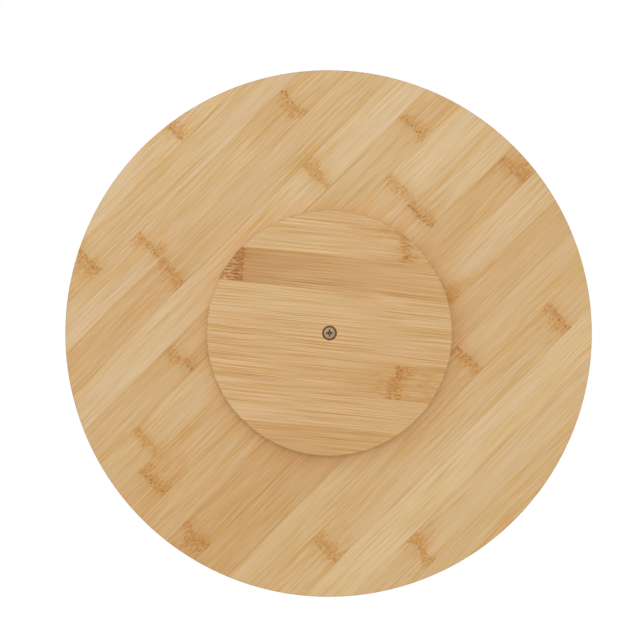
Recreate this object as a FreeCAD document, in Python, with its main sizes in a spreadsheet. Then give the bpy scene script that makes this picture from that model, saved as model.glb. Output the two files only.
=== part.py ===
"""Bamboo lazy susan: a round laminated tray that turns on a caged ball race over a round laminated base.

Millimetres. The origin is on the axis of rotation, on the surface that the base stands on, with +Z up.
+X runs along the grain of the base's face strips. The tray's face strips lie at tray_grain_angle to it.
Each board is three plies: face strips above and below, and a core whose grain runs across them.
"""
import FreeCAD, Part
import math
import os
import Sketcher

DIMENSIONS = [
    # alias, value, what it is
    ("tray_diameter", 300, "tray, across"),
    ("tray_thickness", 15, "tray, three plies together"),
    ("tray_face_ply", 5, "tray, each face ply"),
    ("tray_top_bevel", 1.5, "tray, eased edge of the top rim"),
    ("tray_under_bevel", 0.5, "tray, eased edge of the lower rim"),
    ("tray_grain_angle", -50.6, "degrees from the base's grain to the tray's"),
    ("tray_seam_offset", -1.15, "tray, the seam nearest the axis"),
    ("base_diameter", 138, "base, across"),
    ("base_thickness", 12, "base, three plies together"),
    ("base_face_ply", 4, "base, each face ply"),
    ("base_top_bevel", 1, "base, eased edge of the top rim"),
    ("base_under_bevel", 0.5, "base, eased edge of the lower rim"),
    ("base_seam_offset", -4.8, "base, the seam nearest the axis"),
    ("strip_width", 19.3, "bamboo strips, both boards"),
    ("board_gap", 2, "open height between base and tray"),
    ("ball_diameter", 5, "steel balls"),
    ("ball_count", 6, "steel balls, evenly spaced"),
    ("track_diameter", 104, "circle that the ball centres run on"),
    ("ball_play", 0.05, "between a ball and each race"),
    ("race_margin", 2, "race rings, flat metal beside a ball, each side"),
    ("race_thickness", 1, "flat race rings"),
    ("race_seat_clearance", 0.1, "race rings in their board grooves, each wall"),
    ("cage_side_clearance", 0.5, "ball cage, inside the width of the races, each side"),
    ("cage_race_clearance", 1.25, "ball cage, above and below, to the races"),
    ("pocket_clearance", 0.1, "ball cage, pocket wall to the ball"),
    ("head_diameter", 7, "screw, pan head"),
    ("head_height", 2.2, "screw, pan head"),
    ("head_bevel", 1, "screw, eased edge of the pan head"),
    ("head_inset", 0.8, "from the base's underside in to the screw's head"),
    ("shank_diameter", 3.5, "screw, over the thread"),
    ("screw_length", 20, "screw, from under the head to the point"),
    ("point_length", 3.5, "screw, tapered point"),
    ("recess_span", 4.1, "cross recess, across the wings"),
    ("recess_wing", 1, "cross recess, width of a wing"),
    ("recess_depth", 2, "cross recess"),
    ("recess_taper", 0.45, "cross recess, size at its floor as a share of its mouth"),
    ("screw_turn", -5.6, "degrees that the cross recess is turned to"),
    ("pilot_clearance", 0.02, "tray, hole round the screw, each side"),
    ("pilot_run_out", 0.5, "tray, hole beyond the screw's point"),
    ("washer_diameter", 8, "flat washer"),
    ("washer_thickness", 0.8, "flat washer"),
    ("well_clearance", 0.2, "base, wall of the screw's well to the washer"),
    ("lift_play", 0.2, "from the washer to the floor of the well"),
    ("shank_clearance", 0.1, "washer and sleeve round the screw, each side"),
    ("sleeve_wall", 0.65, "distance sleeve"),
    ("sleeve_running_fit", 0.05, "between sleeve and bush, each side"),
    ("bush_wall", 0.95, "nylon bush, barrel"),
    ("bush_flange_reach", 2, "nylon bush, flange beyond the barrel"),
    ("bush_flange_thickness", 0.8, "nylon bush, flange"),
    ("bush_seat_clearance", 0.02, "nylon bush in the base, each wall"),
]
NARROWEST_STRIP = 5  # a rim strip slimmer than this is left as part of its neighbour
OVERHANG = 5  # how far a cutting slab reaches past the board that it cuts

doc = FreeCAD.newDocument("lazy_susan")
sheet = doc.addObject("Spreadsheet::Sheet", "Dimensions")
for row, (alias, amount, meaning) in enumerate(DIMENSIONS, 1):
    sheet.set(f"A{row}", meaning)
    sheet.set(f"B{row}", str(amount))
    sheet.setAlias(f"B{row}", alias)
doc.recompute()

nodes = []


# ---------------------------------------------------------------- heights and radii, as expressions

def size(alias):
    return f"Dimensions.{alias}"


def value(expression):
    """What an expression comes to now."""
    return float(sheet.evalExpression(expression))


BASE_TOP = size("base_thickness")
TRAY_LOW = f"({BASE_TOP} + {size('board_gap')})"
TRAY_TOP = f"({TRAY_LOW} + {size('tray_thickness')})"
BASE_RADIUS = f"({size('base_diameter')} / 2)"
TRAY_RADIUS = f"({size('tray_diameter')} / 2)"

TRACK_RADIUS = f"({size('track_diameter')} / 2)"
BALL_RADIUS = f"({size('ball_diameter')} / 2)"
BALL_HEIGHT = f"({BASE_TOP} + {size('board_gap')} / 2)"
RACE_REACH = f"({BALL_RADIUS} + {size('ball_play')})"
GROOVE_REACH = f"({RACE_REACH} + {size('race_thickness')})"
RACE_HALF_WIDTH = f"({BALL_RADIUS} + {size('race_margin')})"
RACE_INNER = f"({TRACK_RADIUS} - {RACE_HALF_WIDTH})"
RACE_OUTER = f"({TRACK_RADIUS} + {RACE_HALF_WIDTH})"
GROOVE_INNER = f"({RACE_INNER} - {size('race_seat_clearance')})"
GROOVE_OUTER = f"({RACE_OUTER} + {size('race_seat_clearance')})"

HEAD_LOW = size("head_inset")
WASHER_LOW = f"({HEAD_LOW} + {size('head_height')})"
WASHER_HIGH = f"({WASHER_LOW} + {size('washer_thickness')})"
WELL_FLOOR = f"({WASHER_HIGH} + {size('lift_play')})"
HEAD_RADIUS = f"({size('head_diameter')} / 2)"
WASHER_RADIUS = f"({size('washer_diameter')} / 2)"
WELL_RADIUS = f"({WASHER_RADIUS} + {size('well_clearance')})"
SHANK_RADIUS = f"({size('shank_diameter')} / 2)"
POINT_HEIGHT = f"({WASHER_LOW} + {size('screw_length')})"
CLEAR_OF_SHANK = f"({SHANK_RADIUS} + {size('shank_clearance')})"
SLEEVE_RADIUS = f"({CLEAR_OF_SHANK} + {size('sleeve_wall')})"
BUSH_BORE = f"({SLEEVE_RADIUS} + {size('sleeve_running_fit')})"
BUSH_RADIUS = f"({BUSH_BORE} + {size('bush_wall')})"
FLANGE_RADIUS = f"({BUSH_RADIUS} + {size('bush_flange_reach')})"
FLANGE_LOW = f"({BASE_TOP} - {size('bush_flange_thickness')})"


# ---------------------------------------------------------------- ways of making a piece

def origin_feature(body, role):
    return next(item for item in body.Origin.OriginFeatures if item.Role == role)


def place_corner(sketch, line, kind, distance, axis):
    """Fixes one coordinate of a line's start, on the sketch's axis where the distance is nothing."""
    if distance == "0":
        sketch.addConstraint(Sketcher.Constraint("PointOnObject", line, 1, axis))
        return
    index = sketch.addConstraint(Sketcher.Constraint(kind, -1, 1, line, 1, value(distance)))
    sketch.setExpression(f"Constraints[{index}]", distance)


def turned_body(name, corners):
    """A body turned about Z from a closed section whose corners are (radius, height)."""
    body = doc.addObject("PartDesign::Body", name)
    sketch = body.newObject("Sketcher::SketchObject", name + "_section")
    sketch.AttachmentSupport = (origin_feature(body, "XZ_Plane"), "")
    sketch.MapMode = "FlatFace"
    points = [FreeCAD.Vector(value(radius), value(height), 0) for radius, height in corners]
    for start, end in zip(points, points[1:] + points[:1]):
        sketch.addGeometry(Part.LineSegment(start, end), False)
    for line in range(len(corners)):
        sketch.addConstraint(Sketcher.Constraint("Coincident", line, 2, (line + 1) % len(corners), 1))
    for line, (radius, height) in enumerate(corners):
        place_corner(sketch, line, "DistanceX", radius, -2)
        place_corner(sketch, line, "DistanceY", height, -1)
    doc.recompute()
    turned = body.newObject("PartDesign::Revolution", name + "_turned")
    turned.Profile = sketch
    turned.ReferenceAxis = (sketch, ["V_Axis"])
    turned.Angle = 360
    doc.recompute()
    return body


def ring_body(name, inner, outer, low, high):
    return turned_body(name, [(inner, low), (outer, low), (outer, high), (inner, high)])


def bevel_edge(body, radius, height, bevel):
    """Takes the corner off the circular edge that lies at this radius and height."""
    def is_wanted(edge):
        return (
            isinstance(edge.Curve, Part.Circle)
            and math.isclose(edge.Curve.Radius, value(radius), abs_tol=1e-6)
            and math.isclose(edge.Curve.Center.z, value(height), abs_tol=1e-6)
        )

    number = next(n for n, edge in enumerate(body.Shape.Edges, 1) if is_wanted(edge))
    base = body.Tip
    chamfer = body.newObject("PartDesign::Chamfer", f"{body.Name}_bevel")
    chamfer.Base = (base, [f"Edge{number}"])
    chamfer.setExpression("Size", bevel)
    doc.recompute()


def primitive(body, kind, name, plane, offset, sizes):
    """A PartDesign primitive that stands on one of the body's origin planes, at an offset in it."""
    before = body.Shape.Volume
    item = body.newObject(kind, name)
    item.AttachmentSupport = (origin_feature(body, plane), "")
    item.MapMode = "FlatFace"
    for axis, distance in offset.items():
        item.setExpression(f"AttachmentOffset.Base.{axis}", distance)
    for property_name, expression in sizes.items():
        item.setExpression(property_name, expression)
    doc.recompute()
    grows = "Additive" in kind
    if (body.Shape.Volume - before) * (1 if grows else -1) <= 0:
        raise SystemExit(f"{name} changes nothing")
    return item


def repeat_round_axis(body, originals, count):
    """Repeats features round the body's Z axis."""
    pattern = body.newObject("PartDesign::PolarPattern", body.Name + "_pattern")
    pattern.Originals = originals
    pattern.Axis = (origin_feature(body, "Z_Axis"), [""])
    pattern.Angle = 360
    pattern.setExpression("Occurrences", count)
    body.Tip = pattern
    doc.recompute()


def turn_about_z(item, angle):
    """Turns a finished piece. It starts at a degree, because a turn of nothing keeps no axis."""
    item.Placement = FreeCAD.Placement(FreeCAD.Vector(), FreeCAD.Rotation(FreeCAD.Vector(0, 0, 1), 1))
    item.setExpression("Placement.Rotation.Angle", angle)


def node(item):
    """Marks an object as a sub-part of the finished product."""
    item.Label = item.Name
    nodes.append(item)


# ---------------------------------------------------------------- laminated boards

def seam_lines(radius, offset):
    """The edges of a ply's strips, across the grain: past one rim, each seam, past the other rim."""
    width = value(size("strip_width"))
    reach = value(radius) - NARROWEST_STRIP
    first = math.ceil((-reach - value(offset)) / width)
    last = math.floor((reach - value(offset)) / width)
    seams = [f"({offset} + {number} * {size('strip_width')})" for number in range(first, last + 1)]
    past_rim = f"({radius} + {OVERHANG})"
    return [f"(-{past_rim})", *seams, past_rim]


def slab(name, board, radius, across, along_z, turn):
    """The part of a board between two lines across its grain and two heights, turned with its grain."""
    box = doc.addObject("Part::Box", name + "_slab")
    half = f"({radius} + {OVERHANG})"
    box.setExpression("Length", f"2 * {half}")
    box.setExpression("Width", f"{across[1]} - {across[0]}")
    box.setExpression("Height", f"{along_z[1]} - {along_z[0]}")
    box.setExpression("Placement.Base.x", f"-{half}")
    box.setExpression("Placement.Base.y", across[0])
    box.setExpression("Placement.Base.z", along_z[0])
    piece = doc.addObject("Part::Common", name)
    piece.Base = board
    piece.Tool = box
    turn_about_z(piece, turn)
    node(piece)


def laminate(prefix, board, radius, low, high, face_ply, seam_offset, turn, whole_plies=()):
    """Cuts a board into its plies, and each ply that isn't named as whole into its glued strips."""
    lines = seam_lines(radius, seam_offset)
    plies = {
        "underside": (f"({low} - {OVERHANG})", f"({low} + {face_ply})"),
        "core": (f"({low} + {face_ply})", f"({high} - {face_ply})"),
        "top": (f"({high} - {face_ply})", f"({high} + {OVERHANG})"),
    }
    for ply, heights in plies.items():
        if ply in whole_plies:
            slab(f"{prefix}_{ply}_ply", board, radius, (lines[0], lines[-1]), heights, turn)
            continue
        for number, across in enumerate(zip(lines, lines[1:]), 1):
            slab(f"{prefix}_{ply}_strip_{number:02d}", board, radius, across, heights, turn)


def make_base():
    """The base: a disc with a well for the screw's head, a bore for the bush and a race groove on top."""
    groove_floor = f"({BALL_HEIGHT} - {GROOVE_REACH})"
    bore = f"({BUSH_RADIUS} + {size('bush_seat_clearance')})"
    flange = f"({FLANGE_RADIUS} + {size('bush_seat_clearance')})"
    board = turned_body("base_board", [
        (WELL_RADIUS, "0"), (BASE_RADIUS, "0"), (BASE_RADIUS, BASE_TOP),
        (GROOVE_OUTER, BASE_TOP), (GROOVE_OUTER, groove_floor),
        (GROOVE_INNER, groove_floor), (GROOVE_INNER, BASE_TOP),
        (flange, BASE_TOP), (flange, FLANGE_LOW), (bore, FLANGE_LOW),
        (bore, WELL_FLOOR), (WELL_RADIUS, WELL_FLOOR),
    ])
    bevel_edge(board, BASE_RADIUS, "0", size("base_under_bevel"))
    bevel_edge(board, BASE_RADIUS, BASE_TOP, size("base_top_bevel"))
    laminate("base", board, BASE_RADIUS, "0", BASE_TOP, size("base_face_ply"),
             size("base_seam_offset"), "0", whole_plies=("core", "top"))


def make_tray():
    """The tray: a disc with a race groove and a blind hole for the screw in its underside."""
    groove_floor = f"({BALL_HEIGHT} + {GROOVE_REACH})"
    pilot = f"({SHANK_RADIUS} + {size('pilot_clearance')})"
    pilot_end = f"({POINT_HEIGHT} + {size('pilot_run_out')})"
    board = turned_body("tray_board", [
        (pilot, TRAY_LOW), (GROOVE_INNER, TRAY_LOW), (GROOVE_INNER, groove_floor),
        (GROOVE_OUTER, groove_floor), (GROOVE_OUTER, TRAY_LOW), (TRAY_RADIUS, TRAY_LOW),
        (TRAY_RADIUS, TRAY_TOP), ("0", TRAY_TOP), ("0", pilot_end), (pilot, pilot_end),
    ])
    bevel_edge(board, TRAY_RADIUS, TRAY_LOW, size("tray_under_bevel"))
    bevel_edge(board, TRAY_RADIUS, TRAY_TOP, size("tray_top_bevel"))
    laminate("tray", board, TRAY_RADIUS, TRAY_LOW, TRAY_TOP, size("tray_face_ply"),
             size("tray_seam_offset"), size("tray_grain_angle"), whole_plies=("core",))


# ---------------------------------------------------------------- ball race

def make_races():
    """Two flat steel rings, one in each board's groove, that the balls run between."""
    node(ring_body("lower_race", RACE_INNER, RACE_OUTER,
                   f"({BALL_HEIGHT} - {GROOVE_REACH})", f"({BALL_HEIGHT} - {RACE_REACH})"))
    node(ring_body("upper_race", RACE_INNER, RACE_OUTER,
                   f"({BALL_HEIGHT} + {RACE_REACH})", f"({BALL_HEIGHT} + {GROOVE_REACH})"))


def make_cage():
    """A flat ring with a round pocket through it for each ball."""
    side = size("cage_side_clearance")
    half_thickness = f"({RACE_REACH} - {size('cage_race_clearance')})"
    low = f"({BALL_HEIGHT} - {half_thickness})"
    high = f"({BALL_HEIGHT} + {half_thickness})"
    cage = ring_body("ball_cage", f"({RACE_INNER} + {side})", f"({RACE_OUTER} - {side})", low, high)
    pocket = primitive(cage, "PartDesign::SubtractiveCylinder", "pocket", "XY_Plane",
                       {"x": TRACK_RADIUS, "z": low},
                       {"Radius": f"{BALL_RADIUS} + {size('pocket_clearance')}",
                        "Height": f"{high} - {low}"})
    repeat_round_axis(cage, [pocket], size("ball_count"))
    node(cage)


def make_balls():
    balls = []
    for number in range(int(value(size("ball_count")))):
        ball = doc.addObject("Part::Sphere", f"ball_{number + 1:02d}")
        angle = f"360 / {size('ball_count')} * {number}"
        ball.setExpression("Radius", BALL_RADIUS)
        ball.setExpression("Placement.Base.x", f"{TRACK_RADIUS} * cos({angle})")
        ball.setExpression("Placement.Base.y", f"{TRACK_RADIUS} * sin({angle})")
        ball.setExpression("Placement.Base.z", BALL_HEIGHT)
        balls.append(ball)
    group = doc.addObject("Part::Compound", "bearing_balls")
    group.Links = balls
    node(group)


# ---------------------------------------------------------------- pivot

def make_screw():
    """A pan-head wood screw with a cross recess, its head downwards in the base's well."""
    taper_start = f"({POINT_HEIGHT} - {size('point_length')})"
    screw = turned_body("pivot_screw", [
        ("0", HEAD_LOW), (HEAD_RADIUS, HEAD_LOW), (HEAD_RADIUS, WASHER_LOW),
        (SHANK_RADIUS, WASHER_LOW), (SHANK_RADIUS, taper_start), ("0", POINT_HEIGHT),
    ])
    bevel_edge(screw, HEAD_RADIUS, HEAD_LOW, size("head_bevel"))
    half_span = f"({size('recess_span')} / 2)"
    half_wing = f"({size('recess_wing')} / 2)"
    taper = size("recess_taper")
    for number, plane in enumerate(("XZ_Plane", "YZ_Plane"), 1):
        primitive(screw, "PartDesign::SubtractiveWedge", f"recess_bar_{number}", plane, {"y": HEAD_LOW}, {
            "Xmin": f"-{half_span}", "Xmax": half_span, "Zmin": f"-{half_wing}", "Zmax": half_wing,
            "X2min": f"-{half_span} * {taper}", "X2max": f"{half_span} * {taper}",
            "Z2min": f"-{half_wing} * {taper}", "Z2max": f"{half_wing} * {taper}",
            "Ymin": "0", "Ymax": size("recess_depth"),
        })
    turn_about_z(screw, size("screw_turn"))
    node(screw)


def make_pivot():
    make_screw()
    node(ring_body("screw_washer", CLEAR_OF_SHANK, WASHER_RADIUS, WASHER_LOW, WASHER_HIGH))
    node(ring_body("distance_sleeve", CLEAR_OF_SHANK, SLEEVE_RADIUS, WASHER_HIGH, TRAY_LOW))
    node(turned_body("base_bush", [
        (BUSH_BORE, WELL_FLOOR), (BUSH_RADIUS, WELL_FLOOR),
        (BUSH_RADIUS, FLANGE_LOW), (FLANGE_RADIUS, FLANGE_LOW),
        (FLANGE_RADIUS, BASE_TOP), (BUSH_BORE, BASE_TOP),
    ]))


# ---------------------------------------------------------------- the whole product

def check_document():
    """Stops if any object failed to compute or any sub-part isn't a sound solid."""
    for item in doc.Objects:
        if "Invalid" in item.State or "Error" in item.State:
            raise SystemExit(f"{item.Name} failed: {item.State}")
    for item in nodes:
        if item.Shape.isNull() or not item.Shape.isValid() or item.Shape.Volume <= 0:
            raise SystemExit(f"{item.Label} is not a sound solid")


make_base()
make_tray()
make_races()
make_cage()
make_balls()
make_pivot()
doc.recompute()
check_document()

os.makedirs("parts", exist_ok=True)
for item in nodes:
    item.Shape.exportStep(f"parts/{item.Label}.step")
print(f"{len(nodes)} nodes, {sum(len(item.Shape.Solids) for item in nodes)} solids")
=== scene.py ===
"""Finish, light and view of the bamboo lazy susan.

Metres, +Z up, with the origin on the axis where the base stands. The boards' strips and plies, the races,
the balls, the cage, the bush, the washer and the sleeve keep their own shapes and get their finish here.
The pivot screw is made again, with its domed head, its cross recess and its thread.
"""
import math
import random
from collections import namedtuple

import bmesh
import bpy
from mathutils import Matrix, Vector


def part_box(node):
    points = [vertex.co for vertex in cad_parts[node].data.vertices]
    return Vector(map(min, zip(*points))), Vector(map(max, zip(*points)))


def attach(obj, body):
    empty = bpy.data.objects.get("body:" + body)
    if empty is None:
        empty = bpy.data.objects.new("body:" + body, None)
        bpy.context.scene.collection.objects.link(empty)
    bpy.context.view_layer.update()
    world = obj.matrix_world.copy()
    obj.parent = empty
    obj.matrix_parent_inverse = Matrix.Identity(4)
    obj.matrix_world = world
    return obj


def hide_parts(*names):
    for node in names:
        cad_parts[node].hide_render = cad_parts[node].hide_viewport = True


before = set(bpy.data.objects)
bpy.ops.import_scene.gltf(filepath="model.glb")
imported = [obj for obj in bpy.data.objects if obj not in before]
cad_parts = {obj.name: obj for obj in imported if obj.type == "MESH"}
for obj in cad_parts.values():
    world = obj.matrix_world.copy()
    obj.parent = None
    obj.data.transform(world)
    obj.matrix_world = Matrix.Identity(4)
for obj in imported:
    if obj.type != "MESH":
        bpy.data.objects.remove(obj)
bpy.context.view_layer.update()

MM = 0.001


# ---------------------------------------------------------------- the boards, read from the frame

def heights(name):
    """The lowest and highest point of a node, in mm."""
    low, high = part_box(name)
    return low.z / MM, high.z / MM


def reach_across(name, grain):
    """How far a node goes to each side of the axis, measured across the grain, in mm."""
    across = Vector((-math.sin(grain), math.cos(grain), 0))
    reach = [across.dot(vertex.co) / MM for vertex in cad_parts[name].data.vertices]
    return min(reach), max(reach)


TRAY_GRAIN = math.radians(-50.6)
BASE_GRAIN = 0.0
CROSSWISE = math.pi / 2
STRIP_WIDTH = 19.3  # in mm, as are the seams nearest the axis
TRAY_SEAM = -1.15
BASE_SEAM = -4.8

# A board: its radius and heights, and how much of its upper rim is rounded off, in mm.
Board = namedtuple("Board", "radius low high corner")
TRAY = Board(
    radius=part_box("tray_core_ply")[1].x / MM,
    low=heights("tray_underside_strip_01")[0],
    high=heights("tray_top_strip_01")[1],
    corner=1.5,
)
BASE = Board(
    radius=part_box("base_core_ply")[1].x / MM,
    low=heights("base_underside_strip_01")[0],
    high=heights("base_top_ply")[1],
    corner=1.0,
)


# ---------------------------------------------------------------- colours and the look of each strip

def linear(red, green, blue):
    """A colour given from 0 to 255 as a screen shows it, in the linear values that shaders take."""
    def one(value):
        share = value / 255
        return share / 12.92 if share <= 0.04045 else ((share + 0.055) / 1.055) ** 2.4

    return one(red), one(green), one(blue), 1


SHADES = {
    "cream": linear(215, 184, 136),
    "pale": linear(212, 179, 130),
    "plain": linear(209, 174, 121),
    "honey": linear(206, 168, 113),
    "amber": linear(201, 160, 102),
    "tawny": linear(196, 152, 92),
    "russet": linear(189, 144, 84),
}

# A strip: its shade at one end and at the other, where its cane joints lie along the grain (mm from the
# middle), how much its tone leans from one seam to the other, and how bold its joints are.
Strip = namedtuple("Strip", "shade far_shade knuckles lean bold", defaults=((), 0, 0))
TRAY_UNDERSIDE = [
    Strip("cream", "cream", (19,), 0, 0.35),
    Strip("plain", "pale", (-67,), 0.1, 0.35),
    Strip("pale", "plain", (-37, 78), 0.1, 0.25),
    Strip("honey", "plain", (-38,), -0.2, 0.3),
    Strip("pale", "cream", (58,), 0.2, 0.25),
    Strip("honey", "plain", (-70, 117), -0.2, 0.25),
    Strip("plain", "cream", (-117, 88), 0.2, 0.2),
    Strip("honey", "pale", (-131, 84), 0, 0.3),
    Strip("honey", "honey", (140,), 0.2, 0.4),
    Strip("amber", "pale", (-135, 62), 0, 0.4),
    Strip("amber", "honey", (), 0.1),
    Strip("plain", "plain", (46,), -0.3, 0.3),
    Strip("plain", "plain", (-89, 99), 0.2, 0.3),
    Strip("cream", "cream", (), -0.1),
    Strip("plain", "pale", (-50,), 0, 0.3),
    Strip("plain", "plain", (), -0.2),
]
BASE_UNDERSIDE = [
    Strip("honey", "honey"),
    Strip("plain", "honey", (38,), 0.2, 0.5),
    Strip("russet", "amber", (-56,), 0.2, 1),
    Strip("plain", "honey", (), 0.1),
    Strip("honey", "honey", (), -0.1),
    Strip("honey", "amber", (41,), 0, 0.5),
    Strip("honey", "honey", (), 0.1),
    Strip("tawny", "amber", (), 0.1),
]


def strips_by_chance(count, seed):
    """Strips whose shades and joints fall as they come, with no shade twice side by side."""
    chance = random.Random(seed)
    shades = ["cream", "pale", "plain", "honey", "amber"]
    strips = []
    for _ in range(count):
        last = strips[-1].shade if strips else None
        place = chance.choice([number for number, shade in enumerate(shades) if shade != last])
        far_place = min(max(place + chance.choice((-1, 0, 1)), 0), len(shades) - 1)
        first = chance.uniform(-130, 130)
        second = first + math.copysign(chance.uniform(170, 230), -first)
        lean = chance.uniform(-0.2, 0.2)
        bold = chance.uniform(0, 0.3)
        strips.append(Strip(shades[place], shades[far_place], (first, second), lean, bold))
    return strips


TRAY_TOP = strips_by_chance(16, seed=5)


# ---------------------------------------------------------------- building node trees

class Tree:
    """Adds nodes to a tree, of a shader or of a shape."""

    def __init__(self, tree):
        self.tree = tree

    def feed(self, socket, value):
        """Puts a value in a socket, or a link to it where the value is a socket too."""
        if isinstance(value, bpy.types.NodeSocket):
            self.tree.links.new(value, socket)
        else:
            socket.default_value = value

    def node(self, kind, values=(), **settings):
        """Returns the new node's outputs. values pairs each input's name or number with what goes in."""
        node = self.tree.nodes.new(kind)
        for name, setting in settings.items():
            setattr(node, name, setting)
        for name, value in dict(values).items():
            self.feed(node.inputs[name], value)
        return node.outputs


class Shader(Tree):
    """Each call adds what its name says, and returns the socket that comes out of it."""

    def add(self, kind, values=(), out=0, **settings):
        """Any shader node."""
        return self.node("ShaderNode" + kind, values, **settings)[out]

    def math(self, operation, *values):
        return self.add("Math", enumerate(values), operation=operation)

    def vector(self, operation, *values):
        return self.add("VectorMath", enumerate(values), operation=operation)

    def length(self, vector):
        return self.add("VectorMath", {0: vector}, out="Value", operation="LENGTH")

    def dot(self, first, second):
        return self.add("VectorMath", {0: first, 1: second}, out="Value", operation="DOT_PRODUCT")

    def scaled(self, vector, amount):
        return self.add("VectorMath", {0: vector, 3: amount}, operation="SCALE")

    def parts(self, vector):
        return tuple(self.node("ShaderNodeSeparateXYZ", {0: vector}))

    def joined(self, x, y, z):
        return self.add("CombineXYZ", {0: x, 1: y, 2: z})

    def step(self, value, start, end, low=0, high=1):
        """Goes smoothly from low, where the value is at start, to high, where it is at end."""
        ends = {"Value": value, "From Min": start, "From Max": end, "To Min": low, "To Max": high}
        return self.add("MapRange", ends, interpolation_type="SMOOTHSTEP")

    # The Mix node has a set of inputs and an output for each kind of value, which only numbers tell apart.

    def mix(self, share, first, second, blend="MIX"):
        return self.add("Mix", {0: share, 6: first, 7: second}, out=2, data_type="RGBA", blend_type=blend)

    def choose(self, share, first, second):
        return self.add("Mix", {0: share, 2: first, 3: second}, data_type="FLOAT")

    def choose_vector(self, share, first, second):
        return self.add("Mix", {0: share, 4: first, 5: second}, out=1, data_type="VECTOR")

    def place_in_mm(self):
        """Where on the object it is, in millimetres."""
        return self.vector("MULTIPLY", self.add("TexCoord", out="Object"), (1 / MM, 1 / MM, 1 / MM))

    def from_axis(self, place):
        """How far a place is from the axis."""
        x, y, _ = self.parts(place)
        return self.length(self.joined(x, y, 0))

    def times(self, *values):
        """All the values multiplied."""
        product = values[0]
        for value in values[1:]:
            product = self.math("MULTIPLY", product, value)
        return product

    def plus(self, total, value, share):
        """The total and a share of the value."""
        return self.math("MULTIPLY_ADD", value, share, total)

    def swing(self, clouds):
        """Clouds from 0 to 1, made to go from -1 to 1."""
        return self.plus(-1, clouds, 2)

    def noise(self, place, along, across, detail=2, roughness=0.5):
        """Clouds from 0 to 1. along and across say how many there are to a millimetre."""
        stretched = self.vector("MULTIPLY", place, (along, across, across))
        values = {"Vector": stretched, "Scale": 1, "Detail": detail, "Roughness": roughness}
        return self.add("TexNoise", values)

    def ramp(self, share, stops):
        """The colour at a share of the way through the stops, which are positions with their colours."""
        node = self.tree.nodes.new("ShaderNodeValToRGB")
        points = node.color_ramp.elements
        while len(points) < len(stops):
            points.new(0.5)
        for point, (position, colour) in zip(points, stops):
            point.position = position
            point.color = colour
        self.feed(node.inputs[0], share)
        return node.outputs[0]


def emptied(holder):
    """Clears a new material or world, and returns the shader to build it up with."""
    holder.use_nodes = True
    holder.node_tree.nodes.clear()
    return Shader(holder.node_tree)


def new_material(name):
    """A material, its shader, and the sockets of its Principled surface."""
    material = bpy.data.materials.new(name)
    shader = emptied(material)
    surface = shader.tree.nodes.new("ShaderNodeBsdfPrincipled")
    shader.node("ShaderNodeOutputMaterial", {"Surface": surface.outputs[0]})
    return material, shader, surface.inputs


# ---------------------------------------------------------------- bamboo

# What the shade is multiplied by, from the darkest fibres to the palest.
GRAIN_TINTS = [
    (0.0, (0.92, 0.71, 0.35, 1)),
    (0.25, (0.975, 0.862, 0.595, 1)),
    (0.5, (1.0, 1.0, 1.0, 1)),
    (0.75, (1.03, 1.045, 1.16, 1)),
    (1.0, (1.065, 1.09, 1.33, 1)),
]
SEED_STEP = (173.1, 31.7, 0)  # how far the grain of one seed lies from that of the next, in mm
LINE_STRENGTH = 0.11  # how much the fine lines lighten and darken the colour
# A knuckle's stain and dark dashes, as tints of the shade, and the colour of its pale dashes.
KNUCKLE_TINT = (0.88, 0.665, 0.355, 1)
KNUCKLE_DARK = (0.57, 0.34, 0.12, 1)
KNUCKLE_PALE = linear(214, 176, 126)
# The tints of glue, of a cut end and of the dots in it, and the painted warm shade on the tray beside the
# base.
SEAM_TINT = (0.80, 0.62, 0.42, 1)
CUT_TINT = (0.88, 0.80, 0.68, 1)
CUT_DARK = (0.55, 0.38, 0.24, 1)
PAINTED_WARM_SHADE_TINT = (1.08, 0.985, 0.84, 1)
# How far out from the base's edge the painted warm shade reaches, in mm.
PAINTED_WARM_SHADE_WIDTH = 15  # in mm
NO_KNUCKLE = 1000  # far past the end of any strip, in mm

BAMBOO_INPUTS = [
    # name, kind, usual value
    ("Place", "NodeSocketVector", (0, 0, 0)),
    ("Shade", "NodeSocketColor", SHADES["plain"]),
    ("Far Shade", "NodeSocketColor", SHADES["plain"]),
    ("Reach", "NodeSocketFloat", 150),
    ("Seed", "NodeSocketFloat", 0),
    ("Half Width", "NodeSocketFloat", STRIP_WIDTH / 2),
    ("Ply Low", "NodeSocketFloat", 0),
    ("Ply High", "NodeSocketFloat", 5),
    ("Lean", "NodeSocketFloat", 0),
    ("Contrast", "NodeSocketFloat", 1),
    ("Lines", "NodeSocketFloat", 1),
    ("Fineness", "NodeSocketFloat", 1),
    ("Wander", "NodeSocketFloat", 1),
    ("Flame", "NodeSocketFloat", 0),
    ("Golden", "NodeSocketFloat", 0.18),
    ("First Knuckle", "NodeSocketFloat", NO_KNUCKLE),
    ("Second Knuckle", "NodeSocketFloat", NO_KNUCKLE),
    ("Bold", "NodeSocketFloat", 0),
    ("Cut Across", "NodeSocketFloat", 0),
]
BAMBOO_OUTPUTS = [
    ("Color", "NodeSocketColor"),
    ("Roughness", "NodeSocketFloat"),
    ("Relief", "NodeSocketFloat"),
]


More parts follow.
